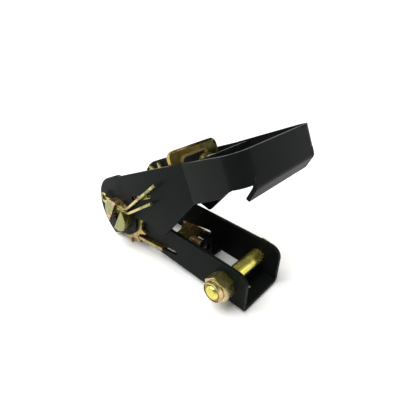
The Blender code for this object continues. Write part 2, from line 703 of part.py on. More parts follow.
def offset_ribbon(line, half):
    """A closed outline of constant width around an open line of points."""
    left, right = [], []
    for i, point in enumerate(line):
        before, after = line[max(i - 1, 0)], line[min(i + 1, len(line) - 1)]
        dx, dy = after[0] - before[0], after[1] - before[1]
        length = hypot(dx, dy)
        nx, ny = -dy / length * half, dx / length * half
        left.append((point[0] + nx, point[1] + ny))
        right.append((point[0] - nx, point[1] - ny))
    return left + right[::-1]


def make_handle(empty):
    """The handle: a folded ribbon trimmed to its side view, with spool holes, ear slots and a lip."""
    ribbon = handle_ribbon("ribbon", -2 * HEAD_RADIUS, 2 * HEAD_RADIUS)
    across = HANDLE_OUTER + STEP_OUT + GRIP_FLARE + CUT_MARGIN
    side = outline_mesh("trim", [handle_side_outline()], 2 * across)
    slots = outline_mesh("slots", [handle_slot_outline()], 2 * across)
    steps = [
        ("INTERSECT", side),
        ("DIFFERENCE", rod_mesh("bore", BORE_RADIUS, -across, across, sides=40)),
        ("DIFFERENCE", slots),
        ("UNION", lip_mesh()),
    ]
    mesh = combined("handle", ribbon, steps)
    smooth_rounds(mesh)
    return add_part("handle", mesh, "black", empty)


def make_bridge(empty):
    """The cross plate inside the handle that the release spring pushes against."""
    flared = STEP_AT + STEP_RAMP
    wide = HANDLE_INNER + STEP_OUT + GRIP_FLARE * (BRIDGE_AT - flared) / (HANDLE_LENGTH - flared)
    half = wide - GAP
    points = [(-half, BRIDGE_LOW), (half, BRIDGE_LOW), (half, BRIDGE_HIGH), (-half, BRIDGE_HIGH)]
    outline = rounded(points, {i: BRIDGE_ROUND for i in range(4)}, 4)
    mesh = outline_mesh("handle_bridge", [outline], BRIDGE_SHEET, plane="YZ")
    mesh.transform(Matrix.Translation((BRIDGE_AT + BRIDGE_SHEET / 2, 0.0, 0.0)))
    return add_part("handle_bridge", mesh, "black", empty)


# ---- release pawl -----------------------------------------------------------------------------------
def release_plate():
    """Flat part of the release pawl: two noses, two ears in the handle's slots and a body."""
    ear = HANDLE_OUTER - GAP
    body = WHEEL_OUTER - GAP
    bail_end = BAIL_AT + RELEASE_SHEET - FOLD_STEP
    seat_end = SEAT_AT + RELEASE_SHEET - FOLD_STEP
    half = [
        (RELEASE_FRONT, WHEEL_INNER), (RELEASE_NOSE, WHEEL_INNER), (RELEASE_NOSE, WHEEL_OUTER),
        (RELEASE_EAR_START, WHEEL_OUTER), (RELEASE_EAR_START, ear), (RELEASE_EAR_END, ear),
        (RELEASE_EAR_END, body), (bail_end, body),
        (bail_end, SEAT_WIDTH / 2 - FOLD_STEP), (seat_end, SEAT_WIDTH / 2 - FOLD_STEP),
    ]
    outline = half + [(x, -y) for x, y in reversed(half)]
    mesh = outline_mesh("plate", [outline], RELEASE_SHEET, plane="XY")
    mesh.transform(Matrix.Translation((0.0, 0.0, RELEASE_HEIGHT)))
    return mesh


def bail_mesh():
    """The upright finger pull: a band across the handle on two legs."""
    low, high, half = RELEASE_HEIGHT - RELEASE_SHEET / 2 + FOLD_STEP, BAIL_TOP, BAIL_HALF_WIDTH
    outer = rounded([(-half, low), (half, low), (half, high), (-half, high)],
                    {2: BAIL_ROUND, 3: BAIL_ROUND}, 6)
    sill, arch = RELEASE_HEIGHT + RELEASE_SHEET / 2 + GAP, BAIL_TOP - BAIL_BAND
    window = BAIL_WINDOW / 2
    hole = rounded([(-window, sill), (-window, arch), (window, arch), (window, sill)],
                   {1: WINDOW_ROUND, 2: WINDOW_ROUND}, 4)
    mesh = outline_mesh("bail", [outer, hole], RELEASE_SHEET, plane="YZ")
    mesh.transform(Matrix.Translation((BAIL_AT + RELEASE_SHEET / 2, 0.0, 0.0)))
    return mesh


def make_release_pawl(handle_empty):
    """The handle's sliding pawl, on an empty of its own inside the handle's frame."""
    empty = axis_empty("release_pawl_slide_axis", (RELEASE_EAR_START, 0.0, RELEASE_HEIGHT),
                       parent=handle_empty)
    half = SEAT_WIDTH / 2
    low = RELEASE_HEIGHT - RELEASE_SHEET / 2 + FOLD_STEP
    outline = [(-half, low), (half, low)] + arc((0.0, RELEASE_SPRING_HEIGHT), half, 0.0, pi, 12)
    seat = outline_mesh("seat", [outline], RELEASE_SHEET, plane="YZ")
    seat.transform(Matrix.Translation((SEAT_AT + RELEASE_SHEET / 2, 0.0, 0.0)))
    mesh = combined("release_pawl", release_plate(), [("UNION", bail_mesh()), ("UNION", seat)])
    mesh.transform(Matrix.Translation((-RELEASE_EAR_START, 0.0, -RELEASE_HEIGHT)))
    smooth_rounds(mesh)
    return add_part("release_pawl", mesh, "zinc", empty)


def make_release_spring(empty):
    """The coil between the release pawl's seat and the handle's bridge."""
    wire = SPRING_WIRE + GAP
    start = SEAT_AT + RELEASE_SHEET + wire
    end = BRIDGE_AT - wire
    mesh = wire_mesh("release_spring", coil_points(start, end, RELEASE_TURNS, SPRING_RADIUS), SPRING_WIRE)
    mesh.transform(Matrix.Translation((0.0, 0.0, RELEASE_SPRING_HEIGHT)))
    smooth_rounds(mesh)
    return add_part("release_spring", mesh, "spring", empty)


def main():
    """Build the whole buckle."""
    make_base()
    make_bolt()
    make_nut()
    make_lock_pawl()
    make_lock_spring()
    make_spool()
    handle_axis = axis_empty("handle_axis", (SPOOL_X, 0.0, SPOOL_HEIGHT), HANDLE_REST)
    make_handle(handle_axis)
    make_bridge(handle_axis)
    make_release_pawl(handle_axis)
    make_release_spring(handle_axis)
    bpy.context.view_layer.update()


main()
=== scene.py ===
"""Looks of a ratchet strap buckle for 25 mm webbing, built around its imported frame.

The frame's origin is under the base's front floor, straight below the strap bolt: +X runs from the spool
to the bolt, +Y across the webbing and +Z up. Everything is in metres.
"""

import json
import logging
import math
from collections.abc import Callable, Iterable, Sequence
from dataclasses import dataclass, field
from enum import Enum

import bmesh
import bpy
from mathutils import Matrix, Vector


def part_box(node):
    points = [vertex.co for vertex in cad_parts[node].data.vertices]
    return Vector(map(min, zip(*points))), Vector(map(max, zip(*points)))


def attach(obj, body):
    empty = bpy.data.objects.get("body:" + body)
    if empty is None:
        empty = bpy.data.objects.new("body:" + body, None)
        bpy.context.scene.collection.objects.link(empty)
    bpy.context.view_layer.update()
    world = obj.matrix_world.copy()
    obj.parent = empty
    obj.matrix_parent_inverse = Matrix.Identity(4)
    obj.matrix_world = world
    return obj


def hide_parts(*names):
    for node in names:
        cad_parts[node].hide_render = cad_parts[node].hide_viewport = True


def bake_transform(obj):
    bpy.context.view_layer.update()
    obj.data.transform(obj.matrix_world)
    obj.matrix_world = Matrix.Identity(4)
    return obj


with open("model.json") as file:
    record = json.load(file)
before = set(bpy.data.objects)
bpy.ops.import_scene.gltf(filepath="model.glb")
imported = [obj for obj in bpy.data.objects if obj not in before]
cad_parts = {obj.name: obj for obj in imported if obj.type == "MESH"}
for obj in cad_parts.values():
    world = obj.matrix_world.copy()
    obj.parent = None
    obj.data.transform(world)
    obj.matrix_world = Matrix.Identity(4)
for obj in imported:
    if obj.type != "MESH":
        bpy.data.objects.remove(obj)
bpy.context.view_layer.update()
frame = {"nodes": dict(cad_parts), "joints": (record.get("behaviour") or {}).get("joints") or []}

LOG = logging.getLogger("buckle")
MM = 0.001
WELD = 0.004 * MM
SMOOTH_BELOW = 40.0
Piece = bpy.types.Object


# ---- names of bodies, slots and axes ----
class Body(str, Enum):
    """The rigid bodies that the pieces ride on."""

    BASE = "base"
    SPOOL = "spool"
    HANDLE = "handle"
    LOCK = "lock_pawl"
    RELEASE = "release_pawl"


class Slot(str, Enum):
    """The record's material slots."""

    BLACK = "black_coat"
    ZINC = "yellow_zinc"
    SPRING = "spring_steel"
    NYLON = "nylon"


class Axis(Enum):
    """Directions in the frame."""

    Y = (0.0, 1.0, 0.0)
    Z = (0.0, 0.0, 1.0)

    @property
    def vector(self) -> Vector:
        """The direction as a vector."""
        return Vector(self.value)


def joint(name: str) -> dict:
    """The record's joint of that name.

    Args:
        name: the joint's name.

    Returns:
        The joint's entry.
    """
    return next(entry for entry in frame["joints"] if entry["name"] == name)


SPOOL_AXIS = Vector(joint("spool_turn")["pos_m"])
HANDLE_ALONG = Vector(joint("release_pawl_slide")["axis"]).normalized()
LOCK_ALONG = Vector(joint("lock_pawl_slide")["axis"]).normalized()


# ---- shader node groups ----
class Wiring:
    """A small helper that adds and links nodes in one tree."""

    def __init__(self, tree: bpy.types.NodeTree) -> None:
        """Keep the tree that the nodes go in."""
        self.tree = tree

    def add(self, kind: str, settings: dict | None = None, **inputs: object) -> bpy.types.Node:
        """Add a node, set its properties and fill or link its inputs.

        Args:
            kind: the node's type name.
            settings: properties of the node itself.
            inputs: input sockets by name, with underscores for spaces; a socket value is linked.

        Returns:
            The new node.
        """
        node = self.tree.nodes.new(kind)
        for name, value in (settings or {}).items():
            setattr(node, name, value)
        for name, value in inputs.items():
            self.feed(node, name.replace("_", " "), value)
        return node

    def feed(self, node: bpy.types.Node, name: str | int, value: object) -> None:
        """Set one input of a node to a value, or link it to another node's output.

        Args:
            node: the node.
            name: the input's name or number.
            value: a value, or an output socket to link.
        """
        target = node.inputs[name]
        if isinstance(value, bpy.types.NodeSocket):
            self.tree.links.new(value, target)
        else:
            target.default_value = value

    def place(self) -> object:
        """The place in the piece's own space."""
        return self.add("ShaderNodeTexCoord").outputs["Object"]

    def noise(
        self, scale: float, detail: float, rough: float, where: object, stretch: float = 0.0
    ) -> object:
        """A noise pattern's value.

        Args:
            scale: waves per metre.
            detail: octaves of detail.
            rough: how strong the fine octaves are.
            where: the coordinates' socket.
            stretch: the pattern's own distortion.

        Returns:
            The factor output.
        """
        made = self.add("ShaderNodeTexNoise", Scale=scale, Detail=detail, Roughness=rough, Distortion=stretch)
        self.feed(made, "Vector", where)
        return made.outputs["Fac"]

    def window(
        self, value: object, low: float, high: float, to_low: float = 0.0, to_high: float = 1.0
    ) -> object:
        """Map a value's range onto another, clamped and smoothed at both ends.

        Args:
            value: the socket to map.
            low: value that gives to_low.
            high: value that gives to_high.
            to_low: lowest result.
            to_high: highest result.

        Returns:
            The mapped output.
        """
        made = self.add("ShaderNodeMapRange", {"interpolation_type": "SMOOTHSTEP"})
        for name, amount in (("From Min", low), ("From Max", high), ("To Min", to_low), ("To Max", to_high)):
            self.feed(made, name, amount)
        self.feed(made, "Value", value)
        return made.outputs["Result"]

    def math(self, operation: str, first: object, second: object = 0.0) -> object:
        """The clamped result of one operation on two values.

        Args:
            operation: the operation's name.
            first: the first value or its socket.
            second: the second value or its socket.

        Returns:
            The result's output.
        """
        made = self.add("ShaderNodeMath", {"operation": operation, "use_clamp": True})
        self.feed(made, 0, first)
        self.feed(made, 1, second)
        return made.outputs[0]

    def mix(self, share: object, first: object, second: object) -> object:
        """A mix of two colours.

        Args:
            share: how much of the second colour shows.
            first: the first colour or its socket.
            second: the second colour or its socket.

        Returns:
            The mixed colour's output.
        """
        made = self.add("ShaderNodeMix", {"data_type": "RGBA"})
        self.feed(made, 0, share)
        self.feed(made, 6, first)
        self.feed(made, 7, second)
        return made.outputs[2]


def rgba(colour: Sequence[float]) -> tuple[float, float, float, float]:
    """A colour with full opacity."""
    return (colour[0], colour[1], colour[2], 1.0)


def new_group(name: str, inputs: dict[str, float], outputs: Iterable[str]) -> bpy.types.NodeTree:
    """An empty shader node group with float inputs and outputs.

    Args:
        name: the group's name.
        inputs: input names with their default values.
        outputs: output names.

    Returns:
        The group's node tree.
    """
    group = bpy.data.node_groups.new(name, "ShaderNodeTree")
    for socket, value in inputs.items():
        made = group.interface.new_socket(socket, in_out="INPUT", socket_type="NodeSocketFloat")
        made.default_value = value
    for socket in outputs:
        group.interface.new_socket(socket, in_out="OUTPUT", socket_type="NodeSocketFloat")
    group.nodes.new("NodeGroupInput")
    group.nodes.new("NodeGroupOutput")
    return group


def group_ends(group: bpy.types.NodeTree) -> tuple[bpy.types.Node, bpy.types.Node]:
    """A group's input and output nodes."""
    return group.nodes["Group Input"], group.nodes["Group Output"]


def edge_wear_and_highlight_group() -> bpy.types.NodeTree:
    """A mask of the outer edges, broken up by noise: where the finish has worn through, and on the black coat
    also a painted edge highlight.

    Returns:
        The group's node tree.
    """
    group = new_group("edge_wear_and_highlight", {"Reach": 0.5 * MM, "Amount": 0.5, "Breakup": 900.0}, ["Mask"])
    wires = Wiring(group)
    start, end = group_ends(group)
    place = wires.place()
    rounded = wires.add("ShaderNodeBevel", {"samples": 6})
    wires.feed(rounded, "Radius", start.outputs["Reach"])
    sharp = wires.add("ShaderNodeNewGeometry").outputs["Normal"]
    turn = wires.add("ShaderNodeVectorMath", {"operation": "DOT_PRODUCT"})
    wires.feed(turn, 0, rounded.outputs["Normal"])
    wires.feed(turn, 1, sharp)
    edge = wires.window(turn.outputs["Value"], 0.995, 0.88)
    patches = wires.add("ShaderNodeTexNoise", Detail=5.0, Roughness=0.65)
    wires.feed(patches, "Vector", place)
    wires.feed(patches, "Scale", start.outputs["Breakup"])
    broken = wires.window(patches.outputs["Fac"], 0.42, 0.62)
    worn = wires.math("MULTIPLY", edge, broken)
    wires.feed(end, "Mask", wires.math("MULTIPLY", worn, start.outputs["Amount"]))
    return group


def scratch_group() -> bpy.types.NodeTree:
    """Thin scratches that run along the piece, from two stretched noise patterns.

    Returns:
        The group's node tree.
    """
    group = new_group("handling_scratches", {"Spacing": 260.0, "Amount": 0.5}, ["Mask"])
    wires = Wiring(group)
    start, end = group_ends(group)
    place = wires.place()
    masks = []
    for tilt, stretch in ((0.42, 14.0), (-0.9, 9.0)):
        turned = wires.add("ShaderNodeMapping")
        wires.feed(turned, "Rotation", (0.3, tilt, 0.2))
        wires.feed(turned, "Scale", (1.0, 1.0, stretch))
        wires.feed(turned, "Vector", place)
        lines = wires.add("ShaderNodeTexNoise", Detail=2.0, Roughness=0.5)
        wires.feed(lines, "Scale", start.outputs["Spacing"])
        wires.feed(lines, "Vector", turned.outputs["Vector"])
        masks.append(wires.window(lines.outputs["Fac"], 0.70, 0.76))
    both = wires.math("MAXIMUM", masks[0], masks[1])
    wires.feed(end, "Mask", wires.math("MULTIPLY", both, start.outputs["Amount"]))
    return group


def grain_group() -> bpy.types.NodeTree:
    """Fine height variation: orange peel on paint, rolling texture on plated steel.

    Returns:
        The group's node tree.
    """
    group = new_group("surface_grain", {"Coarse": 900.0, "Fine": 5200.0, "Balance": 0.5}, ["Height"])
    wires = Wiring(group)
    start, end = group_ends(group)
    place = wires.place()
    heights = []
    for name in ("Coarse", "Fine"):
        waves = wires.add("ShaderNodeTexNoise", Detail=3.0, Roughness=0.55)
        wires.feed(waves, "Scale", start.outputs[name])
        wires.feed(waves, "Vector", place)
        heights.append(waves.outputs["Fac"])
    blend = wires.add("ShaderNodeMix", {"data_type": "FLOAT"})
    wires.feed(blend, 0, start.outputs["Balance"])
    wires.feed(blend, 2, heights[0])
    wires.feed(blend, 3, heights[1])
    wires.feed(end, "Height", blend.outputs[0])
    return group


@dataclass(frozen=True)
class Effects:
    """The node groups that the finishes share."""

    edge_mask: bpy.types.NodeTree
    scratches: bpy.types.NodeTree
    grain: bpy.types.NodeTree

    @classmethod
    def build(cls) -> "Effects":
        """Build every group once."""
        return cls(edge_wear_and_highlight_group(), scratch_group(), grain_group())


def use_group(wires: Wiring, group: bpy.types.NodeTree, **inputs: float) -> object:
    """Place a node group with its own values.

    Args:
        wires: the tree's wiring helper.
        group: the node group.
        inputs: the group's input values by name.

    Returns:
        The group's first output.
    """
    node = wires.add("ShaderNodeGroup", {"node_tree": group})
    for name, value in inputs.items():
        wires.feed(node, name, value)
    return node.outputs[0]


# ---- finishes ----
@dataclass(frozen=True)
class BlackCoat:
    """Black electrocoat on folded steel sheet: satin, with a film of dust and lighter edges, partly worn
    paint and partly painted highlight.
    """

    name: str = "black_electrocoat"
    colour: tuple[float, float, float] = (0.0048, 0.0062, 0.0056)
    # edge colour: partly worn-through paint, partly painted highlight along the edges
    rubbed_and_highlight: tuple[float, float, float] = (0.042, 0.045, 0.043)
    dust: tuple[float, float, float] = (0.010, 0.0105, 0.0095)
    roughness: float = 0.36
    specular: float = 0.03
    peel: float = 0.06

    def build(self, effects: Effects) -> bpy.types.Material:
        """Build the material.

        Args:
            effects: the shared node groups.

        Returns:
            The finished material.
        """
        made, wires, shader = new_material(self.name)
        place = wires.place()
        cloud = wires.window(wires.noise(55.0, 5.0, 0.6, place), 0.45, 0.75, 0.0, 0.35)
        specks = wires.window(wires.noise(1500.0, 2.0, 0.5, place), 0.66, 0.74, 0.0, 0.5)
        # painted highlight: lightens the edges toward the edge colour, partly worn paint and partly standing
        # in for highlights along the edges
        edge_mask = use_group(wires, effects.edge_mask, Reach=0.45 * MM, Amount=0.85, Breakup=700.0)
        lines = use_group(wires, effects.scratches, Spacing=210.0, Amount=0.35)
        dusty = wires.mix(wires.math("MAXIMUM", cloud, specks), rgba(self.colour), rgba(self.dust))
        scuffed = wires.mix(lines, dusty, rgba(self.dust))
        wires.feed(shader, "Base Color", wires.mix(edge_mask, scuffed, rgba(self.rubbed_and_highlight)))
        wires.feed(shader, "Roughness", wires.window(cloud, 0.0, 0.35, self.roughness, self.roughness + 0.16))
        wires.feed(shader, "Specular IOR Level", self.specular)
        peel = use_group(wires, effects.grain, Coarse=650.0, Fine=2600.0, Balance=0.35)
        add_bump(wires, shader, peel, self.peel, 0.12 * MM)
        return made


@dataclass(frozen=True)
class YellowZinc:
    """Yellow passivated zinc: a metallic gold that drifts to olive, pink and blue-green."""

    name: str = "yellow_zinc_plate"
    gold: tuple[float, float, float] = (0.42, 0.30, 0.08)
    olive: tuple[float, float, float] = (0.22, 0.22, 0.06)
    rose: tuple[float, float, float] = (0.58, 0.27, 0.16)
    teal: tuple[float, float, float] = (0.26, 0.36, 0.17)
    worn: tuple[float, float, float] = (0.52, 0.44, 0.26)
    stained: float = 0.32
    roughness: float = 0.2
    drift: float = 75.0
    rose_share: float = 0.5
    offset: tuple[float, float, float] = (0.0, 0.0, 0.0)

    def build(self, effects: Effects) -> bpy.types.Material:
        """Build the material.

        Args:
            effects: the shared node groups.

        Returns:
            The finished material.
        """
        made, wires, shader = new_material(self.name)
        source = wires.place()
        moved = wires.add("ShaderNodeMapping")
        wires.feed(moved, "Location", self.offset)
        wires.feed(moved, "Vector", source)
        place = moved.outputs["Vector"]
        broad = wires.noise(self.drift, 4.0, 0.55, place, 1.2)
        colour = wires.mix(wires.window(broad, 0.38, 0.58), rgba(self.gold), rgba(self.olive))
        patches = wires.noise(self.drift * 1.7, 4.0, 0.6, place, 1.6)
        pink = wires.window(patches, 0.50, 0.66, 0.0, self.rose_share)
        colour = wires.mix(pink, colour, rgba(self.rose))
        flecks = wires.noise(self.drift * 2.6, 3.0, 0.5, place, 2.0)
        cool = wires.window(flecks, 0.58, 0.70, 0.0, 0.55)
        colour = wires.mix(cool, colour, rgba(self.teal))
        stain = wires.window(wires.noise(160.0, 3.0, 0.5, place, 0.8), 0.54, 0.74, 0.0, 0.5)
        dark = tuple(channel * self.stained for channel in self.olive)
        colour = wires.mix(stain, colour, rgba(dark))
        edge_mask = use_group(wires, effects.edge_mask, Reach=0.35 * MM, Amount=0.6, Breakup=1100.0)
        wires.feed(shader, "Base Color", wires.mix(edge_mask, colour, rgba(self.worn)))
        wires.feed(shader, "Metallic", 0.92)
        haze = wires.noise(380.0, 5.0, 0.6, place)
        rough = wires.window(haze, 0.35, 0.7, self.roughness, self.roughness + 0.1)
        wires.feed(shader, "Roughness", rough)
        grain = use_group(wires, effects.grain, Coarse=1300.0, Fine=6500.0, Balance=0.5)
        add_bump(wires, shader, grain, 0.05, 0.08 * MM)
        return made


@dataclass(frozen=True)
class DrawnWire:
    """Drawn spring wire with a warm coppery film and fine lines along it."""

    name: str = "drawn_spring_wire"
    copper: tuple[float, float, float] = (0.52, 0.26, 0.14)
    straw: tuple[float, float, float] = (0.60, 0.48, 0.24)
    soiled: tuple[float, float, float] = (0.10, 0.07, 0.045)
    roughness: float = 0.26

    def build(self, effects: Effects) -> bpy.types.Material:
        """Build the material.

        Args:
            effects: the shared node groups.

        Returns:
            The finished material.
        """
        made, wires, shader = new_material(self.name)
        place = wires.place()
        film = wires.window(wires.noise(300.0, 4.0, 0.6, place, 0.8), 0.36, 0.62)
        grime = wires.window(wires.noise(1400.0, 3.0, 0.6, place), 0.56, 0.72, 0.0, 0.6)
        colour = wires.mix(film, rgba(self.copper), rgba(self.straw))
        wires.feed(shader, "Base Color", wires.mix(grime, colour, rgba(self.soiled)))
        wires.feed(shader, "Metallic", 0.95)
        wires.feed(shader, "Roughness", wires.window(grime, 0.0, 0.6, self.roughness, self.roughness + 0.25))
        grain = use_group(wires, effects.grain, Coarse=2600.0, Fine=9000.0, Balance=0.6)
        add_bump(wires, shader, grain, 0.08, 0.05 * MM)
        return made


@dataclass(frozen=True)
class Nylon:
    """Amber nylon of the nut's locking ring."""

    name: str = "amber_nylon"
    colour: tuple[float, float, float] = (0.50, 0.36, 0.10)
    stained: tuple[float, float, float] = (0.22, 0.15, 0.05)

    def build(self, effects: Effects) -> bpy.types.Material:
        """Build the material.

        Args:
            effects: the shared node groups.

        Returns:
            The finished material.
        """
        made, wires, shader = new_material(self.name)
        place = wires.place()
        stain = wires.window(wires.noise(700.0, 4.0, 0.6, place), 0.45, 0.7, 0.0, 0.8)
        wires.feed(shader, "Base Color", wires.mix(stain, rgba(self.colour), rgba(self.stained)))
        wires.feed(shader, "Roughness", wires.window(stain, 0.0, 0.8, 0.38, 0.6))
        wires.feed(shader, "Subsurface Weight", 0.15)
        wires.feed(shader, "Subsurface Scale", 0.8 * MM)
        grain = use_group(wires, effects.grain, Coarse=1800.0, Fine=5200.0, Balance=0.4)
        add_bump(wires, shader, grain, 0.12, 0.05 * MM)
        return made


def new_material(name: str) -> tuple[bpy.types.Material, Wiring, bpy.types.Node]:
    """A material with only its shader and output.

    Args:
        name: the material's name.

    Returns:
        The material, its wiring helper and its Principled shader.
    """
    made = bpy.data.materials.new(name)
    made.use_nodes = True
    shader = made.node_tree.nodes["Principled BSDF"]
    return made, Wiring(made.node_tree), shader


def add_bump(wires: Wiring, shader: bpy.types.Node, height: object, strength: float, depth: float) -> None:
    """Feed a height into the shader's normal through a Bump node.

    Args:
        wires: the tree's wiring helper.
        shader: the shader.
        height: the height's socket.
        strength: how strong the bump is.
        depth: its depth in metres.
    """
    bump = wires.add("ShaderNodeBump", Strength=strength, Distance=depth)
    wires.feed(bump, "Height", height)
    wires.feed(shader, "Normal", bump.outputs["Normal"])


# ---- modelling helpers ----
def deselect_all() -> None:
    """Leave nothing selected, in object mode."""
    if bpy.context.object and bpy.context.object.mode != "OBJECT":
        bpy.ops.object.mode_set(mode="OBJECT")
    bpy.ops.object.select_all(action="DESELECT")


def take(piece: Piece) -> Piece:
    """Select one piece alone and make it active.

    Args:
        piece: the piece.

    Returns:
        The same piece.
    """
    deselect_all()
    piece.select_set(True)
    bpy.context.view_layer.objects.active = piece
    return piece


def in_edit_mode(piece: Piece, work: Callable[[], object]) -> None:
    """Run some edit-mode work on all of a piece.

    Args:
        piece: the piece.
        work: what to run.
    """
    take(piece)
    bpy.ops.object.mode_set(mode="EDIT")
    bpy.ops.mesh.select_all(action="SELECT")
    work()
    bpy.ops.object.mode_set(mode="OBJECT")


def select_faces(piece: Piece, wanted: Callable[[bpy.types.MeshPolygon], bool]) -> int:
    """Select the faces of a piece that pass a test, in object mode.

    Args:
        piece: the piece.
        wanted: a test on a face.

    Returns:
        How many faces are selected.
    """
    take(piece)
    bpy.ops.object.mode_set(mode="EDIT")
    bpy.ops.mesh.select_mode(type="FACE")
    bpy.ops.mesh.select_all(action="DESELECT")
    bpy.ops.object.mode_set(mode="OBJECT")
    chosen = [face for face in piece.data.polygons if wanted(face)]
    for face in chosen:
        face.select = True
    return len(chosen)


def apply_modifier(piece: Piece, kind: str, **settings: object) -> None:
    """Add a modifier with its settings and apply it.

    Args:
        piece: the piece.
        kind: the modifier's type.
        settings: its settings by name.
    """
    take(piece)
    modifier = piece.modifiers.new(kind.lower(), kind)
    for name, value in settings.items():
        setattr(modifier, name, value)
    bpy.ops.object.modifier_apply(modifier=modifier.name)


def settle(piece: Piece) -> Piece:
    """Put a piece's place into its mesh, with its object at the origin.

    Args:
        piece: the piece.

    Returns:
        The same piece.
    """
    take(piece)
    bpy.ops.object.transform_apply(location=True, rotation=True, scale=True)
    return piece


def shade(piece: Piece, angle: float = 32.0) -> None:
    """Shade smooth, with edges sharper than the angle kept."""
    take(piece)
    bpy.ops.object.shade_smooth_by_angle(angle=math.radians(angle))


def merged_copy(node: str, name: str) -> Piece:
    """A copy of a frame node as one welded mesh with flat faces made whole.

    Args:
        node: the frame node.
        name: the copy's name.

    Returns:
        The new piece.
    """
    mesh = frame["nodes"][node].data.copy()
    mesh.name = name
    mesh.materials.clear()
    if "custom_normal" in mesh.attributes:
        mesh.attributes.remove(mesh.attributes["custom_normal"])
    piece = bpy.data.objects.new(name, mesh)
    bpy.context.scene.collection.objects.link(piece)

    def clean() -> None:
        bpy.ops.mesh.remove_doubles(threshold=WELD)
        bpy.ops.mesh.dissolve_limited(angle_limit=math.radians(1.0))

    in_edit_mode(piece, clean)
    return piece


def soften(piece: Piece, width: float, segments: int = 2, angle: float = 34.0) -> None:
    """Round a piece's sharp edges as tumbling and plating leave them.

    Args:
        piece: the piece.
        width: width of the rounding.
        segments: facets in it.
        angle: edges turning less than this stay as they are.
    """
    apply_modifier(
        piece, "BEVEL", width=width, segments=segments, limit_method="ANGLE",
        angle_limit=math.radians(angle), use_clamp_overlap=True, miter_outer="MITER_ARC",
    )
    shade(piece, SMOOTH_BELOW)
    apply_modifier(piece, "WEIGHTED_NORMAL", keep_sharp=True, weight=100)


def cylinder(name: str, radius: float, depth: float, centre: Vector, sides: int = 48) -> Piece:
    """A round primitive along Y at a place, with nothing else selected.

    Args:
        name: its name.
        radius: its radius.
        depth: its length.
        centre: its centre.
        sides: facets around it.

    Returns:
        The new piece.
    """
    deselect_all()
    bpy.ops.mesh.primitive_cylinder_add(
        vertices=sides, radius=radius, depth=depth, location=centre, rotation=(math.pi / 2, 0.0, 0.0)
    )
    piece = bpy.context.object
    piece.name = piece.data.name = name
    return settle(piece)


def boolean(piece: Piece, operation: str, other: Piece) -> None:
    """Combine another piece with a piece and remove the other.

    Args:
        piece: the piece that stays.
        operation: UNION, DIFFERENCE or INTERSECT.
        other: the piece that is used up.
    """
    apply_modifier(piece, "BOOLEAN", operation=operation, solver="EXACT", object=other)
    bpy.data.objects.remove(other, do_unlink=True)


def turned(
    name: str, profile: Sequence[tuple[float, float]], centre: Vector, steps: int = 64
) -> Piece:
    """A turned piece around a line along Y.

    Args:
        name: its name.
        profile: points of (distance along Y, radius), from one end on the axis to the other.
        centre: a point on the line at the profile's zero.
        steps: facets around it.

    Returns:
        The new piece.
    """
    mesh = bpy.data.meshes.new(name)
    edit = bmesh.new()
    verts = [edit.verts.new((radius, along, 0.0)) for along, radius in profile]
    for first, second in zip(verts, verts[1:]):
        edit.edges.new((first, second))
    edit.to_mesh(mesh)
    edit.free()
    piece = bpy.data.objects.new(name, mesh)
    bpy.context.scene.collection.objects.link(piece)
    take(piece)
    piece.location = centre

    def spin() -> None:
        bpy.ops.mesh.spin(steps=steps, angle=2 * math.pi, center=centre, axis=(0.0, 1.0, 0.0))
        bpy.ops.mesh.select_all(action="SELECT")
        bpy.ops.mesh.remove_doubles(threshold=WELD)
        bpy.ops.mesh.normals_make_consistent(inside=False)

    in_edit_mode(piece, spin)
    return settle(piece)


def wire(name: str, points: Sequence[Vector], radius: float, rings: int = 4) -> Piece:
    """A round wire along points, made a closed mesh with capped ends.

    Args:
        name: its name.
        points: the wire's middle line.
        radius: the wire's radius.
        rings: the roundness of its section.

    Returns:
        The new piece.
    """
    curve = bpy.data.curves.new(name, "CURVE")
    curve.dimensions = "3D"
    curve.bevel_depth = radius
    curve.bevel_resolution = rings
    curve.use_fill_caps = True
    spline = curve.splines.new("POLY")
    spline.points.add(len(points) - 1)
    for target, point in zip(spline.points, points):
        target.co = (*point, 1.0)
    piece = bpy.data.objects.new(name, curve)
    bpy.context.scene.collection.objects.link(piece)
    take(piece)
    bpy.ops.object.convert(target="MESH")
    piece = bpy.context.object

    def weld() -> None:
        bpy.ops.mesh.remove_doubles(threshold=WELD / 2)
        bpy.ops.mesh.normals_make_consistent(inside=False)

    in_edit_mode(piece, weld)
    shade(piece, 50.0)
    return piece


@dataclass
class Shop:
    """Finishes by name, and the one place where pieces are dressed and tied to the frame."""

    finishes: dict[str, bpy.types.Material] = field(default_factory=dict)

    def fit(self, piece: Piece, finish: str, body: Body | None, slot: Slot, *nodes: str) -> None:
        """Dress a piece, tie it to its body and let it stand for frame nodes.

        Args:
            piece: the piece.
            finish: the finish's name.
            body: the body it rides on, or nothing to leave it unattached.
            slot: not used.
            nodes: the frame nodes it replaces.
        """
        piece.data.materials.clear()
        piece.data.materials.append(self.finishes[finish])
        if body is not None:
            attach(piece, body.value)
        if nodes:
            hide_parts(*nodes)
        LOG.info("%s: %d faces", piece.name, len(piece.data.polygons))


# ---- measuring the frame ----
def centre_of(node: str) -> Vector:
    """The middle of a frame node's box."""
    low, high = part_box(node)
    return (low + high) / 2


def corner_angle(mesh: bpy.types.Mesh, centre: Vector) -> float:
    """The angle about Y, from +X toward +Z, of the vertex farthest from a line along Y.

    Args:
        mesh: the mesh.
        centre: a point on the line.

    Returns:
        The angle.
    """
    spots = (vertex.co - centre for vertex in mesh.vertices)
    far = max(spots, key=lambda spot: spot.x**2 + spot.z**2)
    return math.atan2(far.z, far.x)


def arc_points(centre: Vector, radius: float, start: float, end: float, steps: int) -> list[Vector]:
    """Points on an arc in an XZ plane, from one angle to another."""
    angles = (start + (end - start) * i / steps for i in range(steps + 1))
    return [centre + Vector((radius * math.cos(a), 0.0, radius * math.sin(a))) for a in angles]


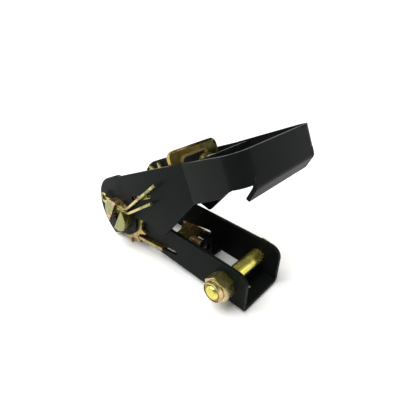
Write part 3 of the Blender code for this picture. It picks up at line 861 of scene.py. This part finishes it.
def eased_corner(
    before: Vector, corner: Vector, after: Vector, reach: float, steps: int = 10
) -> list[Vector]:
    """Points that ease round a corner on a quadratic curve.

    Args:
        before: a point before the corner.
        corner: the corner.
        after: a point after it.
        reach: how far from the corner the curve starts and ends.
        steps: pieces in the curve.

    Returns:
        The points.
    """
    first = corner + (before - corner).normalized() * reach
    last = corner + (after - corner).normalized() * reach
    shares = (i / steps for i in range(steps + 1))
    return [first * (1 - t) ** 2 + corner * 2 * t * (1 - t) + last * t**2 for t in shares]


# ---- sub-assemblies ----
@dataclass
class FoldedBase:
    """The folded base: the frame's sheet with its sheared edges eased."""

    edge: float = 0.32 * MM

    def build(self, shop: Shop) -> None:
        """Make and dress the base.

        Args:
            shop: fits and dresses the pieces.
        """
        piece = merged_copy("base_frame", "base_sheet")
        soften(piece, self.edge)
        shop.fit(piece, "black", Body.BASE, Slot.BLACK, "base_frame")


@dataclass
class Coil:
    """A compression spring with closed ends, along a sloping line in the frame."""

    node: str
    name: str
    along: Vector
    body: Body
    pushed_by: Body
    wire: float = 0.48 * MM
    free_turns: float = 5.0
    closed_turns: float = 1.0
    per_turn: int = 28
    closed_step: float = 2.04
    ease: float = 0.06

    def line(self) -> tuple[Vector, Vector, float]:
        """The spring's two ends and its mean radius, from the frame node's box.

        Returns:
            Start, end and radius.
        """
        low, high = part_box(self.node)
        outer = (high.y - low.y) / 2
        length = ((high.x - low.x) - 2 * outer * abs(self.along.z)) / abs(self.along.x)
        middle = (low + high) / 2
        half = self.along * (length / 2 - self.wire)
        return middle - half, middle + half, outer - self.wire

    def points(self) -> list[Vector]:
        """The wire's middle line: closed turns at both ends and open turns between.

        Returns:
            The points.
        """
        start, end, radius = self.line()
        side = Axis.Y.vector
        across = self.along.cross(side)
        turns = self.free_turns + 2 * self.closed_turns
        count = int(turns * self.per_turn)
        closed_pitch = self.closed_step * self.wire
        span = (end - start).length - 2 * self.closed_turns * closed_pitch
        out = []
        for i in range(count + 1):
            turn = i / self.per_turn
            inner = min(max(turn - self.closed_turns, 0.0), self.free_turns)
            share = inner / self.free_turns
            eased = share - self.ease * math.sin(2 * math.pi * share) / math.pi
            closed = min(turn, self.closed_turns) + max(turn - self.closed_turns - self.free_turns, 0.0)
            depth = closed * closed_pitch + eased * span
            angle = 2 * math.pi * turn
            around = side * math.cos(angle) + across * math.sin(angle)
            out.append(start + self.along * depth + around * radius)
        return out

    def build(self, shop: Shop) -> None:
        """Make and dress the spring.

        Args:
            shop: fits and dresses the pieces.
        """
        piece = wire(self.name, self.points(), self.wire)
        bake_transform(piece)
        shop.fit(piece, "wire", None, Slot.SPRING, self.node)


@dataclass
class StrapBolt:
    """The M8 bolt and its nyloc nut, with chamfered hexagons and a thread at the nut's end."""

    shank: float = 4.0 * MM
    flats: float = 13.0 * MM
    head: float = 5.3 * MM
    nut: float = 7.2 * MM
    collar: float = 5.7 * MM
    ring: float = 5.0 * MM
    chamfer: float = 0.75 * MM
    pitch: float = 1.25 * MM
    thread_depth: float = 0.55 * MM
    thread_length: float = 12.0 * MM
    tip_drop: float = 0.3 * MM
    tip_length: float = 0.35 * MM
    slack: float = 0.02 * MM
    corner_rise: float = 0.4
    face_ring: float = 0.97
    bolt_edge: float = 0.12 * MM
    nut_edge: float = 0.18 * MM
    collar_round: tuple[tuple[float, float], ...] = ((0.7 * MM, 0.0), (0.25 * MM, 0.2 * MM), (0.0, 0.65 * MM))
    bore_play: float = 0.2 * MM
    ring_play: float = 0.1 * MM
    ring_fit: float = 0.08 * MM
    ring_crown: float = 0.35 * MM

    def hexagon(self, name: str, node: str, y_low: float, y_high: float, outer_end: int) -> Piece:
        """A hexagon with its outer corners turned down.

        Args:
            name: its name.
            node: the frame node whose corners it follows.
            y_low: its lower end along Y.
            y_high: its upper end along Y.
            outer_end: 1 when the outer end is at +Y, else -1.

        Returns:
            The hexagon.
        """
        centre = self.centre(node)
        middle = Vector((centre.x, (y_low + y_high) / 2, centre.z))
        corner = self.flats / 2 / math.cos(math.radians(30))
        piece = cylinder(name, corner, y_high - y_low, middle, sides=6)
        turn = corner_angle(frame["nodes"][node].data, centre) - corner_angle(piece.data, centre)
        spin_about(piece, centre, turn)
        inner, outer = (y_low, y_high) if outer_end > 0 else (y_high, y_low)
        step = self.chamfer * outer_end
        profile = [
            (inner, 0.0), (inner, corner + self.chamfer),
            (outer - step, corner + self.chamfer * self.corner_rise),
            (outer, self.flats / 2 * self.face_ring), (outer, 0.0),
        ]
        trim = turned(name + "_trim", profile, Vector((centre.x, 0.0, centre.z)))
        boolean(piece, "INTERSECT", trim)
        return piece

    def centre(self, node: str) -> Vector:
        """The bolt's line at a node's middle.

        Args:
            node: the frame node.

        Returns:
            The point.
        """
        low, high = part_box("nut_nylon_insert")
        middle = centre_of(node)
        return Vector(((low.x + high.x) / 2, middle.y, (low.z + high.z) / 2))

    def thread_profile(self, tip: float, root: float) -> list[tuple[float, float]]:
        """A shank's profile from its threaded tip to its head end.

        Args:
            tip: the tip's place along Y.
            root: the head end's place along Y.

        Returns:
            Points of (distance along Y, radius).
        """
        crest = self.shank - self.slack
        points = [(tip, 0.0), (tip, self.shank - self.thread_depth - self.tip_drop)]
        along = tip + self.tip_length
        while along < tip + self.thread_length:
            points.append((along, self.shank - self.thread_depth))
            points.append((along + self.pitch / 2, crest))
            along += self.pitch
        return [*points, (along, crest), (root, crest), (root, 0.0)]

    def build(self, shop: Shop) -> None:
        """Make and dress the bolt, the nut and the nylon ring.

        Args:
            shop: fits and dresses the pieces.
        """
        low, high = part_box("strap_bolt")
        seat = high.y - self.head
        piece = self.hexagon("bolt_with_head", "strap_bolt", seat, high.y, 1)
        profile = self.thread_profile(low.y, seat + self.chamfer)
        line = self.centre("strap_bolt")
        shank = turned("shank", profile, Vector((line.x, 0.0, line.z)), steps=48)
        boolean(piece, "UNION", shank)
        soften(piece, self.bolt_edge)
        shop.fit(piece, "bolt", Body.BASE, Slot.ZINC, "strap_bolt")
        self.build_nut(shop)

    def build_nut(self, shop: Shop) -> None:
        """Make and dress the nut and its ring.

        Args:
            shop: fits and dresses the pieces.
        """
        low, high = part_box("strap_bolt_nut")
        shoulder = high.y - self.nut
        piece = self.hexagon("nyloc_nut", "strap_bolt_nut", shoulder, high.y, -1)
        line = self.centre("strap_bolt_nut")
        base = Vector((line.x, 0.0, line.z))
        collar = [
            (shoulder + self.chamfer, 0.0), (shoulder + self.chamfer, self.collar),
            *((low.y + back, self.collar - drop) for back, drop in self.collar_round), (low.y, 0.0),
        ]
        boolean(piece, "UNION", turned("collar", collar[::-1], base))
        seat, rim = Vector((line.x, high.y, line.z)), Vector((line.x, low.y, line.z))
        boolean(piece, "DIFFERENCE", cylinder("bore", self.shank + self.bore_play, 4 * self.nut, seat))
        pocket = cylinder("pocket", self.ring + self.ring_play, 2 * (shoulder - low.y), rim)
        boolean(piece, "DIFFERENCE", pocket)
        soften(piece, self.nut_edge)
        shop.fit(piece, "nut", Body.BASE, Slot.ZINC, "strap_bolt_nut")

        low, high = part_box("nut_nylon_insert")
        inner = self.shank + self.ring_fit
        crown = self.ring_crown
        section = [
            (low.y, inner + crown), (low.y, self.ring - crown), (low.y + crown, self.ring),
            (high.y, self.ring), (high.y, inner), (low.y + crown, inner), (low.y, inner + crown),
        ]
        ring = turned("nylon_ring", section, base)
        shade(ring, SMOOTH_BELOW)
        shop.fit(ring, "nylon", Body.BASE, Slot.NYLON, "nut_nylon_insert")


def spin_about(piece: Piece, centre: Vector, turn: float) -> None:
    """Turn a piece's mesh about a line along Y, from +X toward +Z."""
    there = Matrix.Translation(centre) @ Matrix.Rotation(-turn, 4, "Y") @ Matrix.Translation(-centre)
    piece.data.transform(there)


@dataclass
class Spool:
    """The split spool, its two toothed wheels and the split pins through its ends."""

    bar_edge: float = 0.45 * MM
    tooth_edge: float = 0.16 * MM
    pin: float = 0.92 * MM
    lift: float = 7.0 * MM
    radius: float = 11.0 * MM
    eye: float = 2.9 * MM
    long_leg: float = 43.0 * MM
    short_leg: float = 31.0 * MM
    long_slope: float = math.radians(43.0)
    short_slope: float = math.radians(36.0)
    bend: float = 3.2
    eye_gap: float = math.radians(19.0)

    def leg(self, y: float, side: int, length: float, slope: float) -> list[Vector]:
        """One half of a split pin: along the spool's cross hole, then bent up to its tip.

        Args:
            y: the pin's place along the spool.
            side: 1 for the upper half and -1 for the lower.
            length: length of the bent leg.
            slope: its slope above +X.

        Returns:
            The wire's middle line.
        """
        offset = side * self.pin
        start = Vector((-self.radius, y, self.lift + offset))
        corner = Vector((self.radius - offset, y, self.lift + offset))
        tip = corner + Vector((math.cos(slope), 0.0, math.sin(slope))) * length
        points = [start, *eased_corner(start, corner, tip, self.bend * self.pin), tip]
        return [SPOOL_AXIS + point for point in points]

    def build_pin(self, shop: Shop, node: str, name: str) -> None:
        """Make and dress one split pin.

        Args:
            shop: fits and dresses the pieces.
            node: the frame node.
            name: the piece's name.
        """
        y = centre_of(node).y
        upper = wire(name, self.leg(y, 1, self.long_leg, self.long_slope), self.pin, rings=5)
        lower = wire("lower_leg", self.leg(y, -1, self.short_leg, self.short_slope), self.pin, rings=5)
        middle = SPOOL_AXIS + Vector((-self.radius - self.eye, y, self.lift))
        ring = arc_points(middle, self.eye, -self.eye_gap, self.eye_gap - 2 * math.pi, 40)
        loop = wire("eye", ring, self.pin, rings=5)
        boolean(upper, "UNION", lower)
        boolean(upper, "UNION", loop)
        shade(upper, SMOOTH_BELOW)
        shop.fit(upper, "pin", Body.SPOOL, Slot.ZINC, node)

    def build(self, shop: Shop) -> None:
        """Make and dress the bars, wheels and pins.

        Args:
            shop: fits and dresses the pieces.
        """
        for node, name in (("spool_half_upper", "spool_bar_upper"), ("spool_half_lower", "spool_bar_lower")):
            piece = merged_copy(node, name)
            soften(piece, self.bar_edge, segments=3, angle=40.0)
            shop.fit(piece, name, Body.SPOOL, Slot.ZINC, node)
        for place in ("near", "far"):
            wheel = merged_copy(f"ratchet_wheel_{place}", f"toothed_wheel_{place}")
            soften(wheel, self.tooth_edge)
            shop.fit(wheel, "wheel", Body.SPOOL, Slot.ZINC, f"ratchet_wheel_{place}")
            self.build_pin(shop, f"cotter_pin_{place}", f"split_pin_{place}")


@dataclass
class LockPawl:
    """The base's sliding pawl, a flat plate with its stamped edges eased."""

    edge: float = 0.3 * MM

    def build(self, shop: Shop) -> None:
        """Make and dress the pawl.

        Args:
            shop: fits and dresses the pieces.
        """
        piece = merged_copy("lock_pawl", "lock_pawl_plate")
        soften(piece, self.edge)
        shop.fit(piece, "pawl", Body.LOCK, Slot.ZINC, "lock_pawl")


@dataclass
class Handle:
    """The folded handle and the cross plate that seats its spring."""

    edge: float = 0.36 * MM
    plate_edge: float = 0.3 * MM

    def build(self, shop: Shop) -> None:
        """Make and dress the handle and its cross plate.

        Args:
            shop: fits and dresses the pieces.
        """
        piece = merged_copy("handle", "handle_sheet")
        soften(piece, self.edge)
        shop.fit(piece, "black", Body.HANDLE, Slot.BLACK, "handle")
        plate = merged_copy("handle_bridge", "handle_cross_plate")
        soften(plate, self.plate_edge)
        shop.fit(plate, "black", Body.HANDLE, Slot.BLACK, "handle_bridge")


@dataclass
class ReleasePawl:
    """The handle's sliding pawl with its upright, dished finger pull."""

    edge: float = 0.45 * MM
    rim: float = 1.3 * MM
    dish: float = 0.9 * MM
    facing: float = 0.98
    top_band: float = 1.0 * MM
    level_play: float = 0.05 * MM

    def front_faces(self, piece: Piece, ahead: Vector, level: float) -> int:
        """Select the flat faces that look along a direction and lie at one distance along it.

        Args:
            piece: the pawl.
            ahead: the direction.
            level: the distance of the faces along it.

        Returns:
            How many faces are selected.
        """
        def fits(face: bpy.types.MeshPolygon) -> bool:
            on_level = abs(face.center.dot(ahead) - level) < self.level_play
            return on_level and face.normal.dot(ahead) > self.facing

        return select_faces(piece, fits)

    def build(self, shop: Shop) -> None:
        """Make and dress the pawl, with the front of its finger pull sunk inside a rim and darkened as
        painted shade.

        Args:
            shop: fits and dresses the pieces.
        """
        piece = merged_copy("release_pawl", "release_pawl_pull")
        top = max(piece.data.vertices, key=lambda vertex: vertex.co.z).co
        near_top = (vertex.co for vertex in piece.data.vertices if top.z - vertex.co.z < self.top_band)
        front = max(spot.dot(HANDLE_ALONG) for spot in near_top)
        self.front_faces(piece, HANDLE_ALONG, front)
        bpy.ops.object.mode_set(mode="EDIT")
        bpy.ops.mesh.inset(thickness=self.rim, depth=-self.dish, use_boundary=True, use_even_offset=True)
        bpy.ops.object.mode_set(mode="OBJECT")
        soften(piece, self.edge, segments=3)
        shop.fit(piece, "pull", Body.RELEASE, Slot.ZINC, "release_pawl")
        # painted shade: the sunk dish faces get a much darker zinc finish
        piece.data.materials.append(shop.finishes["pull_dish_painted_shade"])
        sunk = self.front_faces(piece, HANDLE_ALONG, front - self.dish)
        LOG.info("%s: %d faces in the dish", piece.name, sunk)
        for face in piece.data.polygons:
            face.material_index = int(face.select)


# ---- studio ----
@dataclass(frozen=True)
class SoftBox:
    """One soft area light: its name, place, side, power in watts and colour."""

    name: str
    at: tuple[float, float, float]
    size: float
    power: float
    tint: tuple[float, float, float]


@dataclass
class Studio:
    """A pale floor, soft light and the camera."""

    camera_at: Vector = field(default_factory=lambda: Vector((65.96, -103.96, 126.31)) * MM)
    looking: Vector = field(default_factory=lambda: Vector((-0.58972, 0.62202, -0.51509)))
    roll: float = math.radians(0.85)
    lens: float = 27.3
    floor_radius: float = 4.0
    floor_sides: int = 96
    sweep: tuple[tuple[float, float], ...] = ((1.25, 0.15), (1.2, 0.4), (1.12, 0.8), (1.05, 1.2))
    floor_colour: tuple[float, float, float] = (0.86, 0.86, 0.85)
    floor_drop: float = 0.2 * MM
    aim: Vector = field(default_factory=lambda: Vector((-0.04, 0.0, 0.03)))
    boxes: tuple[SoftBox, ...] = (
        SoftBox("strip_left", (-0.45, -0.25, 0.28), 0.5, 0.5, (1.0, 1.0, 1.0)),
        SoftBox("strip_right", (0.42, 0.22, 0.30), 0.4, 0.35, (1.0, 0.98, 0.94)),
    )
    sky_from: Vector = field(default_factory=lambda: Vector((-0.30, -0.30, 0.90)))
    sky_strength: float = 4.2
    sky_width: float = math.radians(60.0)
    surroundings: float = 0.25

    def place_camera(self) -> None:
        """Create the camera and make it the scene's."""
        data = bpy.data.cameras.new("camera")
        data.lens = self.lens
        data.sensor_width = 36.0
        data.clip_start = 0.01
        camera = bpy.data.objects.new("camera", data)
        bpy.context.scene.collection.objects.link(camera)
        ahead = self.looking.normalized()
        right = ahead.cross(Axis.Z.vector).normalized()
        over = right.cross(ahead)
        turned_right = right * math.cos(self.roll) + over * math.sin(self.roll)
        turned_over = over * math.cos(self.roll) - right * math.sin(self.roll)
        place = Matrix((turned_right, turned_over, -ahead)).transposed().to_4x4()
        place.translation = self.camera_at
        camera.matrix_world = place
        bpy.context.scene.camera = camera

    def lay_floor(self) -> None:
        """A wide pale floor with a swept-up rim, under the wheels and the base's front edge."""
        low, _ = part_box("ratchet_wheel_near")
        _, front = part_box("base_frame")
        contact = centre_of("ratchet_wheel_near").x
        slope = -low.z / (front.x - contact)
        deselect_all()
        sides, radius = self.floor_sides, self.floor_radius
        bpy.ops.mesh.primitive_circle_add(vertices=sides, radius=radius, fill_type="NGON")
        floor = bpy.context.object
        floor.name = "floor"
        bpy.ops.object.mode_set(mode="EDIT")
        for spread, rise in self.sweep:
            bpy.ops.mesh.select_all(action="SELECT")
            bpy.ops.mesh.region_to_loop()
            bpy.ops.mesh.extrude_edges_move()
            bpy.ops.transform.resize(value=(spread, spread, 1.0))
            bpy.ops.transform.translate(value=(0.0, 0.0, rise))
        bpy.ops.object.mode_set(mode="OBJECT")
        bpy.ops.object.shade_smooth()
        floor.rotation_euler = (0.0, -math.atan(slope), 0.0)
        floor.location = (front.x, 0.0, -self.floor_drop)
        settle(floor)
        finish, wires, shader = new_material("pale_floor")
        place = wires.place()
        cloud = wires.noise(3.0, 3.0, 0.5, place)
        lighter = tuple(min(1.0, channel * 1.03) for channel in self.floor_colour)
        wires.feed(shader, "Base Color", wires.mix(cloud, rgba(self.floor_colour), rgba(lighter)))
        wires.feed(shader, "Roughness", 0.7)
        floor.data.materials.append(finish)

    def hang(self, data: bpy.types.Light, at: Vector, toward: Vector) -> None:
        """Put a light in the scene.

        Args:
            data: the light.
            at: where it stands.
            toward: the direction from what it lights to the light.
        """
        lamp = bpy.data.objects.new(data.name, data)
        bpy.context.scene.collection.objects.link(lamp)
        lamp.location = at
        lamp.rotation_euler = toward.to_track_quat("Z", "Y").to_euler()

    def soft_box(self, box: SoftBox) -> None:
        """Make one area light and point it at the buckle.

        Args:
            box: its place, size, power and colour.
        """
        data = bpy.data.lights.new(box.name, "AREA")
        data.size = box.size
        data.energy = box.power
        data.color = box.tint
        self.hang(data, Vector(box.at), Vector(box.at) - self.aim)

    def sky_light(self) -> None:
        """Make the broad even light over the whole floor."""
        data = bpy.data.lights.new("sky_light", "SUN")
        data.energy = self.sky_strength
        data.angle = self.sky_width
        self.hang(data, Vector((0.0, 0.0, 0.0)), self.sky_from)

    def build(self) -> None:
        """Set up the floor, lights, surroundings and camera."""
        self.place_camera()
        self.lay_floor()
        for box in self.boxes:
            self.soft_box(box)
        self.sky_light()
        world = bpy.data.worlds.new("surroundings")
        bpy.context.scene.world = world
        world.use_nodes = True
        backdrop = world.node_tree.nodes["Background"]
        backdrop.inputs["Color"].default_value = (1.0, 1.0, 1.0, 1.0)
        backdrop.inputs["Strength"].default_value = self.surroundings
        bpy.context.scene.view_settings.view_transform = "Standard"


def make_finishes(effects: Effects) -> dict[str, bpy.types.Material]:
    """Every finish of the buckle, by name.

    Args:
        effects: the shared node groups.

    Returns:
        The materials by name.
    """
    plans = {
        "black": BlackCoat(),
        "bolt": YellowZinc(
            name="zinc_bolt", gold=(0.80, 0.68, 0.15), olive=(0.55, 0.52, 0.10), rose_share=0.1,
            offset=(0.03, 0.1, 0.0),
        ),
        "nut": YellowZinc(name="zinc_nut", gold=(0.60, 0.50, 0.27), rose_share=0.5, offset=(0.4, 0.0, 0.2)),
        "wheel": YellowZinc(name="zinc_wheel", offset=(0.0, 0.3, 0.1), rose_share=0.9, roughness=0.28),
        "pawl": YellowZinc(name="zinc_lock_pawl", offset=(0.2, 0.0, 0.5), rose_share=0.9),
        "pull": YellowZinc(name="zinc_release_pawl", offset=(0.7, 0.1, 0.0), rose_share=0.35),
        # painted shade: a dark, dull zinc for the sunk dish of the finger pull
        "pull_dish_painted_shade": YellowZinc(
            name="zinc_dish_painted_shade", gold=(0.10, 0.08, 0.02), olive=(0.045, 0.045, 0.012), rose=(0.12, 0.055, 0.03),
            teal=(0.05, 0.06, 0.02), worn=(0.2, 0.17, 0.08), offset=(0.7, 0.1, 0.0), roughness=0.34,
        ),
        "pin": YellowZinc(
            name="zinc_split_pin", gold=(0.62, 0.54, 0.24), offset=(0.1, 0.6, 0.3), roughness=0.24
        ),
        "spool_bar_upper": YellowZinc(
            name="zinc_bar_upper", gold=(0.62, 0.38, 0.26), rose=(0.66, 0.33, 0.24), rose_share=0.9
        ),
        "spool_bar_lower": YellowZinc(
            name="zinc_bar_lower", gold=YellowZinc.olive, rose_share=0.15, offset=(0.5, 0.2, 0.9)
        ),
        "wire": DrawnWire(),
        "nylon": Nylon(),
    }
    return {name: plan.build(effects) for name, plan in plans.items()}


def main() -> None:
    """Build the buckle's looks and its studio."""
    logging.basicConfig(level=logging.INFO, format="%(message)s")
    shop = Shop(make_finishes(Effects.build()))
    FoldedBase().build(shop)
    StrapBolt().build(shop)
    Coil("lock_spring", "lock_coil", LOCK_ALONG, Body.BASE, Body.LOCK).build(shop)
    LockPawl().build(shop)
    Spool().build(shop)
    Handle().build(shop)
    ReleasePawl().build(shop)
    Coil("release_spring", "release_coil", HANDLE_ALONG, Body.HANDLE, Body.RELEASE).build(shop)
    Studio().build()


if __name__ == "__main__":
    main()
